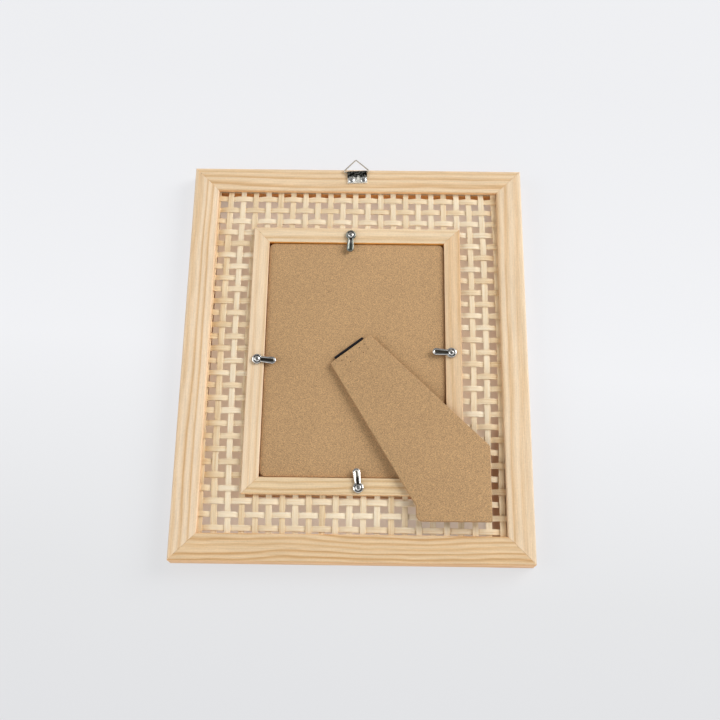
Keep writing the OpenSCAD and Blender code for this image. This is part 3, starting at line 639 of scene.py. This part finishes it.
def strip(shape, number, start, finish, places, signs, place, stray):
    """Adds a strip from start to finish that runs along Y near x = 0, then is placed."""
    dice = random.Random(number)
    width = STRIP_W / 2 * dice.uniform(1.01, 1.09)
    waves = [(dice.uniform(0.03, 0.12), dice.uniform(0.02, 0.09), dice.uniform(0, 6.3)) for _ in range(3)]
    tilt = dice.uniform(-0.03, 0.03)
    steps = max(2, round((finish - start) / STRIP_STEP))
    rings, facts = [], []
    for k in range(steps + 1):
        y = start + (finish - start) * k / steps
        aside = stray(y) + sum(size * math.sin(y * rate + turn) for size, rate, turn in waves)
        z = WEAVE_Z + strip_height(y, places, signs)
        here = width * (1 + 0.025 * math.sin(y * 0.21 + number))
        rings.append([place @ Vector((aside + a * here, y, z + b * STRIP_T / 2 + a * here * tilt))
                      for a, b in STRIP_SECTION])
        facts.append([(y + number * 41.0, a * here, number * 0.71 + 0.1) for a, b in STRIP_SECTION])
    shape.rings(rings, facts)


def upright_spans(x):
    """The parts of an upright: the node of each, its start and its end."""
    if x + STRIP_W / 2 < -STOP_X:
        return [("upright_strips_left", -REACH_Y, REACH_Y)]
    if x - STRIP_W / 2 > STOP_X:
        return [("upright_strips_right", -REACH_Y, REACH_Y)]
    return [("upright_strips_top", STOP_TOP, REACH_Y), ("upright_strips_bottom", -REACH_Y, STOP_BOTTOM)]


def cross_spans(y):
    """The parts of a cross strip: the node of each, its start and its end."""
    if y - STRIP_W / 2 > STOP_TOP:
        return [("cross_strips_top", -REACH_X, REACH_X)]
    if y + STRIP_W / 2 < STOP_BOTTOM:
        return [("cross_strips_bottom", -REACH_X, REACH_X)]
    return [("cross_strips_left", -REACH_X, -STOP_X), ("cross_strips_right", STOP_X, REACH_X)]


def weave():
    material = cane()
    groups = {}
    for i, x in enumerate(UPRIGHT_X):
        signs = [1 if (i + j) % 2 == 0 else -1 for j in range(CROSSES)]
        places = [y - cross_stray(x, y) for y in CROSS_Y]
        stray = functools.partial(upright_stray, x)
        for node, start, finish in upright_spans(x):
            number = UPRIGHT_NUMBER + i + (SECOND_PART if finish < 0 else 0)
            shape = groups.setdefault(node, Shape())
            strip(shape, number, start, finish, places, signs, ON_FRAME @ moved(x, 0), stray)
    for j, y in enumerate(CROSS_Y):
        signs = [-1 if (i + j) % 2 == 0 else 1 for i in range(UPRIGHTS)]
        places = [x + upright_stray(x, y) for x in UPRIGHT_X]
        stray = functools.partial(cross_stray, y=y)
        for node, start, finish in cross_spans(y):
            number = CROSS_NUMBER + j + (SECOND_PART if start > 0 else 0)
            shape = groups.setdefault(node, Shape())
            strip(shape, number, start, finish, places, signs, ON_FRAME @ moved(0, y) @ turned(-90), stray)
    for node, shape in groups.items():
        shape.finish(node + "_cane", material, "frame", [node], "cane")


# Board and strut

def sheet_of_board(outline, low, high, low_arris, high_arris):
    """A board between two levels along Z, with its edges rounded over at both."""
    shape = Shape()
    steps = 4
    arcs = [math.radians(90 * k / steps) for k in range(steps + 1)]
    levels = [(low_arris * (1 - math.sin(a)), low + low_arris * (1 - math.cos(a))) for a in arcs]
    levels += [(high_arris * (1 - math.cos(a)), high - high_arris * (1 - math.sin(a))) for a in arcs]
    shape.rings([[(p.x, p.y, z) for p in shrunk(outline, inset)] for inset, z in levels])
    return shape


def backing_board():
    x, y = (POCKET_W - BOARD_GAP_W) / 2, (POCKET_H - BOARD_GAP_H) / 2
    outline = rounded([(-x, -y), (x, -y), (x, y), (-x, y)], [BOARD_CORNER_R] * 4)
    sheet = sheet_of_board(outline, BOARD_FRONT, BOARD_BACK, low_arris=0.2, high_arris=0.2)
    look = fibreboard("fibreboard_board", seed=1, light=1.0, edge=BOARD_EDGE)
    sheet.finish("board_sheet", look, "frame", ["backing_board"], "fibreboard", ON_POCKET)


def strut_outline():
    """The strut's outline from its hinge at the top to its foot, which has a long edge and a cut corner."""
    turn = math.radians(HINGE_TURN)
    taper = math.tan(math.radians(STRUT_SPREAD))
    half = STRUT_END_W / 2
    up = Vector((math.sin(turn), -math.cos(turn)))
    foot = Vector((FOOT_ASIDE, STRUT_LEN))
    spread = half + taper * STRUT_LEN
    side = (spread - FOOT_ASIDE) / (math.sin(turn) + taper * math.cos(turn))
    past_cut = spread + FOOT_ASIDE + STRUT_CUT_L * (math.sin(turn) - taper * math.cos(turn))
    base = past_cut / (math.cos(turn) + taper * math.sin(turn))
    foot_end = foot - base * Vector((math.cos(turn), math.sin(turn)))
    points = [(-half, STRUT_DROP), (half, STRUT_DROP), foot + side * up, foot, foot_end,
              foot_end + STRUT_CUT_L * up]
    return rounded(points, [STRUT_END_R, STRUT_END_R, SIDE_END_R, FOOT_CORNER_R, FOOT_END_R, STRUT_CUT_R])


def strut():
    """The strut's sheet. Its back is its low side, since its own Z axis points into the board."""
    back, front = -STRUT_FRONT - STRUT_T, -STRUT_FRONT
    sheet = sheet_of_board(strut_outline(), back, front, low_arris=0.7, high_arris=0.2)
    look = fibreboard("fibreboard_strut", seed=2, light=0.98, edge=STRUT_EDGE)
    sheet.finish("strut_sheet", look, "strut", ["strut"], "fibreboard", ON_STRUT)


def prong_tips(material):
    """The ends of the hinge's prongs, that show on the back of the strut."""
    shape = Shape()
    back, sunk, spokes = STRUT_FRONT + STRUT_T, 0.3, 14
    circle = [(math.cos(math.tau * k / spokes), math.sin(math.tau * k / spokes)) for k in range(spokes)]
    levels = ((PRONG_R, 0), (PRONG_R, 0.3), (PRONG_R - 0.06, 0.35), (PRONG_R - 0.24, 0.38))
    for group in (-PRONG_GROUP, PRONG_GROUP):
        for x in (group - PRONG_HALF_W, group + PRONG_HALF_W):
            for y in (PRONG_V - PRONG_HALF_L, PRONG_V + PRONG_HALF_L):
                shape.rings([[(x + r * a, y + r * b, sunk - back - up) for a, b in circle]
                             for r, up in levels])
    shape.finish("prong_tips", material, "strut", [], "hinge_black", ON_STRUT)


# Turn buttons, screws, hanger plate and nails

# A button's section from its edge inwards: how far in, and how high over its front
BUTTON_LEVELS = [(0.2, 0.0), (0.0, 0.2), (0.0, 0.75), (0.1, 1.1), (0.3, 1.36), (0.6, 1.5), (0.85, 1.45),
                 (1.05, 1.26), (1.2, 1.0), (1.34, 0.8), (1.5, 0.74)]
# The rim is above this height over the button's front, and its tray is below
RIM_FROM = 1.15


def button_ring(inset, z):
    """A button's outline moved in by inset: a round head, sides that widen and a round tip."""
    side_steps, tip_steps, head_steps = 8, 18, 41
    tip_y = BUTTON_REACH - TONGUE_W / 2
    head = BUTTON_R - inset
    tip = TONGUE_W / 2 - inset - 0.5 * max(0, inset - 0.4)
    neck = NECK_W / 2 + (TONGUE_W - NECK_W) / 2 * BUTTON_R / tip_y - inset
    join = math.sqrt(head * head - neck * neck)
    first = math.atan2(join, neck)
    points = []
    for k in range(side_steps):
        share = k / side_steps
        points.append((neck + (tip - neck) * share, join + (tip_y - join) * share))
    for k in range(tip_steps + 1):
        angle = math.pi * k / tip_steps
        points.append((tip * math.cos(angle), tip_y + tip * math.sin(angle)))
    points += [(-x, y) for x, y in reversed(points[1:side_steps])]
    for k in range(head_steps):
        angle = math.pi - first + (math.pi + 2 * first) * k / head_steps
        points.append((head * math.cos(angle), head * math.sin(angle)))
    return [(x, y, z) for x, y in points]


def on_rail(side):
    """The place of a button's screw on its rail."""
    along, inset, _ = BUTTONS[side]
    apart = INNER_SIZE_H if side in ("top", "bottom") else INNER_SIZE_W
    return ON_POCKET @ turned(TURNS[side]) @ moved(along, INNER_W - inset - apart / 2)


def turn_button(side, rim, edge):
    """A pressed tray: its rim, its tray and its upright edge each have their own metal; the tray and the
    upright edge carry painted dark reflections.
    """
    shape = Shape()
    shape.rings([button_ring(inset, BUTTON_FRONT + z) for inset, z in BUTTON_LEVELS])
    node = "turn_button_" + side
    piece = shape.finish(node + "_metal", rim, node, [node], "plated_steel",
                         on_rail(side) @ turned(BUTTONS[side][2]), sharp=60)
    piece.data.materials.append(tray_metal("plated_tray_" + side, TRAYS[side]))
    piece.data.materials.append(edge)
    for face in piece.data.polygons:
        if face.normal.z > 0.2 and face.center.z < (BUTTON_FRONT + RIM_FROM) * MM:
            face.material_index = 1
        elif abs(face.normal.z) < 0.2:
            face.material_index = 2


def recess_share(x, y, arm, turn):
    """How much of a cross recess's depth is there: all of it in its arms, and none outside them."""
    half, soft_side, soft_end = 0.26, 0.22, 0.15
    u = abs(x * math.cos(turn) + y * math.sin(turn))
    v = abs(y * math.cos(turn) - x * math.sin(turn))
    return max((1 - eased(aside, half, half + soft_side)) * (1 - eased(along, arm - 0.2, arm + soft_end))
               for aside, along in ((u, v), (v, u)))


def screw(shape, place, radius, height, shank_r, shank_l, turn):
    """Adds a domed screw with a cross recess. The underside of its head is on z = 0 of its place."""
    spokes, steps = 72, 16
    edge, recess_depth, recess_arm = 0.3, 0.9, 0.62 * radius
    rings = [[place @ Vector((r * math.cos(math.tau * k / spokes), r * math.sin(math.tau * k / spokes), z))
              for k in range(spokes)]
             for r, z in ((shank_r * 0.6, -shank_l), (shank_r, -shank_l + 0.6), (shank_r, 0),
                          (radius - 0.08, 0), (radius, 0.08))]
    for step in range(steps + 1):
        r = radius * (1 - step / steps) + 0.02
        dome = edge + (height - edge) * max(0, 1 - (r / radius) ** 2) ** 0.75
        ring = []
        for k in range(spokes):
            angle = math.tau * k / spokes
            x, y = r * math.cos(angle), r * math.sin(angle)
            level = dome - recess_depth * recess_share(x, y, recess_arm, turn)
            ring.append(place @ Vector((x, y, level)))
        rings.append(ring)
    shape.rings(rings)


def button_screws(material):
    shape = Shape()
    for side, turn in (("top", 0.5), ("bottom", 0.2), ("left", 0.9), ("right", 1.3)):
        place = on_rail(side) @ moved(0, 0, BUTTON_FRONT + BUTTON_T)
        screw(shape, place, radius=2.25, height=1.4, shank_r=1.2, shank_l=7.8, turn=turn)
    shape.finish("turn_button_screw_heads", material, "frame", ["turn_button_screws"], "plated_steel",
                 sharp=30)


def plate_path():
    """The middle of the hanger's sheet from its lower end round the wire to its upper end."""
    half = SHEET_T / 2
    roll = WIRE_HOLE_R + half
    end, slope_start = 0.05, 0.2
    low, high = DEPTH + half, DEPTH + 3 * half
    path = [(-PLATE_L + end, low)]
    path += [(-PLATE_L * (1 - k / 6), low) for k in range(1, 6)]
    for degrees in range(-90, 106, 15):
        angle = math.radians(degrees)
        path.append((roll * math.cos(angle), ROLL_Z + roll * math.sin(angle)))
    for k in range(1, 9):
        share = k / 8
        rise = 1 - eased(share, -0.25, 1.05)
        path.append((-slope_start - (FOLD_L - slope_start) * share, high + (ROLL_Z + roll - high) * rise))
    path += [(-FOLD_L - (PLATE_L - FOLD_L - end) * k / 5, high) for k in range(1, 6)]
    return [Vector(point) for point in path]


def hanger_plate(material):
    """A sheet folded double, its fold rolled round the ring's wire."""
    path = plate_path()
    outer, inner = [], []
    for i, point in enumerate(path):
        along = (path[min(len(path) - 1, i + 1)] - path[max(0, i - 1)]).normalized()
        normal = Vector((along.y, -along.x)) * (SHEET_T / 2 - 0.01)
        outer.append(point + normal)
        inner.append(point - normal)
    outline = outer + inner[::-1]
    count = 40
    shape = Shape()
    shape.rings([[(PLATE_W * (k / count - 0.5), p.x, p.y) for p in outline] for k in range(count + 1)])
    shape.finish("hanger_plate_metal", material, "frame", ["hanger_plate"], "plated_steel", ON_HANGER)


def hanger_screws(material):
    shape = Shape()
    for side, turn in ((-1, 0.3), (1, 1.0)):
        place = moved(side * PLATE_SCREW_GAP / 2, -PLATE_SCREW_IN, DEPTH + 2 * SHEET_T)
        screw(shape, place, radius=2.4, height=1.2, shank_r=0.9, shank_l=9, turn=turn)
    shape.finish("hanger_screw_heads", material, "frame", ["hanger_screws"], "plated_steel", ON_HANGER,
                 sharp=30)


def corner_nails(kind, w, h, top, place, material):
    """V-shaped nails that are driven just below the wood's face."""
    shape = Shape()
    outline = ((0, -NAIL_HALF), (NAIL_WING, -NAIL_HALF), (NAIL_WING, NAIL_HALF), (0, NAIL_HALF))
    for x in (-1, 1):
        for y in (-1, 1):
            corner = moved(x * w / 2, y * h / 2) @ Matrix.Rotation(math.atan2(-y, -x), 4, "Z")
            for spread in (-NAIL_SPREAD, NAIL_SPREAD):
                wing = corner @ moved(NAIL_IN, 0) @ turned(spread)
                shape.rings([[wing @ Vector((along, aside, level)) for along, aside in outline]
                             for level in (top - NAIL_H, top)])
    shape.finish(kind + "_nail_edges", material, "frame", [kind + "_corner_nails"], "nail_steel", place)


# Floor, light and camera

FLOOR_SIZE_IN_METRES = 60
BACKDROP = rgb(237, 238, 240)
# Painted light on the floor round the frame: darker towards the bottom, brightest across the middle and a
# little darker again towards the top
FLOOR_PAINTED_LIGHT = [(0, rgb(227, 228, 231)), (0.22, rgb(231, 232, 234)), (0.5, rgb(243, 244, 247)),
               (0.9, rgb(239, 240, 243))]
# The floor inside the frame, in painted light and shade: painted warm bounce light in the middle of its
# height and towards its ends, and a painted shadow beside the right rail
UNDER_MIDDLE, UNDER_ENDS, UNDER_PAINTED_SHADOW = rgb(248, 221, 192), rgb(250, 232, 213), rgb(222, 160, 112)
# How bright the sky is from the horizon at 0 to straight above at 1, and how that changes along Y
SKY_GLOW = [(0.0, 1.15), (0.35, 1.0), (0.6, 0.6), (0.9, 0.08), (1.0, 0.05)]
SKY_SLOPE, SKY_STRENGTH = -0.55, 0.8
# Each lamp's energy and place in metres
LAMPS = {"window_right": (258, (4.1, 2.2, 3.0)), "window_left": (92, (-4.6, -0.4, 3.1))}
LAMP_SIZE, LAMP_COLOUR = 3.2, (1.0, 0.985, 0.965)
# The camera fitted to the photograph: its place from the frame's middle in metres, its heading, tilt and
# roll in degrees, and its focal length in pixels of the photograph
CAMERA_PLACE, CAMERA_TURNS = (0.008553, -0.243701, 0.701627), (1.152, 19.146, -0.378)
FOCAL_LENGTH, PHOTO_W, SENSOR_W = 1007.9, 720, 36.0


def open_floor(tree, place, axes, far):
    """The floor's colour round the frame, in painted light that is darker towards the bottom and a little
    brighter to the right, which turns into the backdrop's far away.
    """
    tone = linear(tree, axes[0], 0.00012, linear(tree, axes[1], 1 / 600, 0.47))
    tone = linear(tree, grainy(tree, place, (0.004, 0.004, 0.004)), 0.06, tone)
    return blend(tree, far, ramp(tree, tone, FLOOR_PAINTED_LIGHT), BACKDROP)


def covered_floor(tree, along, beside):
    """The floor's colour inside the frame: painted warm light as bounced from the wood round it, and a
    painted shadow beside the right rail.
    """
    ends = grey_ramp(tree, calc(tree, "DIVIDE", along, OPENING_H / 2), [(0.78, 0), (0.88, 1)])
    return blend(tree, beside, blend(tree, ends, UNDER_MIDDLE, UNDER_ENDS), UNDER_PAINTED_SHADOW)


def beside_right_rail(tree, axes):
    """The share of painted shadow, which grows towards the right rail, and more so towards the frame's
    bottom.
    """
    low = grey_ramp(tree, linear(tree, axes[1], -0.02, -0.7), [(0.0, 0), (1.0, 1)])
    edge = linear(tree, low, 0.06, calc(tree, "DIVIDE", axes[0], OPENING_W / 2))
    return calc(tree, "MULTIPLY", grey_ramp(tree, edge, [(0.93, 0), (1.0, 1)]), linear(tree, low, 0.6, 0.25))


def floor():
    """A pale floor. Round the frame it is mostly plain to the camera, so that its shadows stay faint. Inside
    the frame part of it glows to the camera as painted light, less beside the right rail.
    """
    bpy.ops.mesh.primitive_plane_add(size=FLOOR_SIZE_IN_METRES)
    plane = bpy.context.object
    plane.name = "floor"
    material, tree, shader = new_material("floor", Roughness=0.9)
    place = in_millimetres(tree)
    axes = axes_of(tree, place)
    along = calc(tree, "ABSOLUTE", calc(tree, "SUBTRACT", axes[1], FRAME_Y))
    inside = calc(tree, "MULTIPLY", calc(tree, "LESS_THAN", calc(tree, "ABSOLUTE", axes[0]), FRAME_W / 2),
                  calc(tree, "LESS_THAN", along, FRAME_H / 2))
    away = add(tree, "ShaderNodeVectorMath", {0: place}, operation="LENGTH").outputs["Value"]
    far = grey_ramp(tree, calc(tree, "DIVIDE", away, FLOOR_FAR), [(0.15, 0), (0.8, 1)])
    beside = beside_right_rail(tree, axes)
    own = blend(tree, inside, open_floor(tree, place, axes, far), covered_floor(tree, along, beside))
    paint(tree, shader, own)
    plain = add(tree, "ShaderNodeEmission", {"Color": own, "Strength": 1.0}).outputs[0]
    ray = add(tree, "ShaderNodeLightPath").outputs
    mirrored = calc(tree, "MAXIMUM", ray["Is Glossy Ray"], ray["Is Transmission Ray"])
    seen = calc(tree, "MAXIMUM", ray["Is Camera Ray"], mirrored)
    open_share = calc(tree, "MULTIPLY", calc(tree, "SUBTRACT", 1.0, inside), linear(tree, far, 0.22, 0.78))
    # Painted light: inside the frame the floor glows to the camera, and less in the painted shadow beside
    # the right rail
    inner_share = calc(tree, "MULTIPLY", inside, linear(tree, beside, -0.24, 0.33))
    share = calc(tree, "MULTIPLY", seen, calc(tree, "ADD", open_share, inner_share))
    mix = add(tree, "ShaderNodeMixShader", {0: share, 1: shader.outputs[0], 2: plain})
    tree.links.new(mix.outputs[0], tree.nodes["Material Output"].inputs["Surface"])
    plane.data.materials.append(material)


def sky():
    """Soft light, mostly from low down and from the camera's side. The camera sees it plain."""
    world = bpy.data.worlds.new("world")
    world.use_nodes = True
    tree = world.node_tree
    light = tree.nodes["Background"]
    axes = axes_of(tree, add(tree, "ShaderNodeTexCoord").outputs["Generated"])
    nearer = linear(tree, axes[1], SKY_SLOPE, 1.0)
    glow = grey_ramp(tree, axes[2], SKY_GLOW)
    glow = add(tree, "ShaderNodeVectorMath", {0: glow, "Scale": nearer}, operation="SCALE").outputs[0]
    tree.links.new(glow, light.inputs["Color"])
    light.inputs["Strength"].default_value = SKY_STRENGTH
    plain = add(tree, "ShaderNodeBackground", {"Color": BACKDROP, "Strength": 1.0})
    seen = add(tree, "ShaderNodeLightPath").outputs["Is Camera Ray"]
    mix = add(tree, "ShaderNodeMixShader", {0: seen, 1: light.outputs[0], 2: plain.outputs[0]})
    tree.links.new(mix.outputs[0], tree.nodes["World Output"].inputs["Surface"])
    bpy.context.scene.world = world


def lamps():
    """Two large soft windows that look at the frame."""
    for name, (energy, place) in LAMPS.items():
        lamp = bpy.data.lights.new(name, "AREA")
        lamp.shape = "SQUARE"
        lamp.size = LAMP_SIZE
        lamp.energy = energy
        lamp.color = LAMP_COLOUR
        window = bpy.data.objects.new(name, lamp)
        bpy.context.scene.collection.objects.link(window)
        window.location = place
        window.rotation_euler = (-window.location).to_track_quat("-Z", "Y").to_euler()


def camera():
    data = bpy.data.cameras.new("camera")
    data.sensor_width = SENSOR_W
    data.lens = FOCAL_LENGTH / PHOTO_W * SENSOR_W
    seer = bpy.data.objects.new("camera", data)
    bpy.context.scene.collection.objects.link(seer)
    heading, tilt, roll = CAMERA_TURNS
    turn = turned(heading) @ turned(tilt, "X") @ turned(roll)
    x, y, z = CAMERA_PLACE
    seer.matrix_world = moved(x, FRAME_Y * MM + y, z) @ turn
    bpy.context.scene.camera = seer


# The pieces

for side in TURNS:
    rail("outer", side)
    rail("inner", side)
weave()
backing_board()
strut()

bright = metal("plated_bright", (232, 232, 230), roughness=0.22, scratch=0.1, mottle=0.5)
# A darker copy of the plate for the top button's rim: a painted dark reflection
darker_plate_copy = metal("plated_painted_darker", (142, 146, 140), roughness=0.34, scratch=0.12, mottle=0.9)
# The buttons' upright edge: a dark plate that is a painted dark reflection
edges = metal("plated_edges_painted_dark", (92, 88, 82), roughness=0.4, scratch=0.12, mottle=0.9)
heads = metal("plated_heads", (214, 214, 212), roughness=0.3, scratch=0.2, mottle=1.5, grain=1.0)
nail_steel = metal("nail_steel", (150, 118, 84), roughness=0.6)
for side in TURNS:
    turn_button(side, darker_plate_copy if side == "top" else bright, edges)
button_screws(heads)
hanger_plate(fold_dark_plate("plated_dark_fold"))
hanger_screws(heads)
prong_tips(metal("prong_steel", (88, 66, 48), roughness=0.6))
corner_nails("outer", FRAME_W, FRAME_H, DEPTH - NAIL_DEEP, ON_FRAME, nail_steel)
corner_nails("inner", INNER_SIZE_W, INNER_SIZE_H, INNER_BACK - NAIL_DEEP, ON_POCKET, nail_steel)

# The nodes of the fixed model that are shown as they are
hinge_black = black_lacquer()
wire = metal("plated_wire", (190, 182, 168), roughness=0.42, scratch=0.1, mottle=0.4)
looks = {"glass": clear_glass(), "picture_card": plain_card(), "hinge_pin": hinge_black,
         "hinge_board_leaf": hinge_black, "hinge_strut_leaf": hinge_black, "hanger_ring": wire}
for name, material in looks.items():
    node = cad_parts[name]
    node.data.materials.clear()
    node.data.materials.append(material)

floor()
sky()
lamps()
camera()
bpy.context.scene.view_settings.view_transform = "Standard"
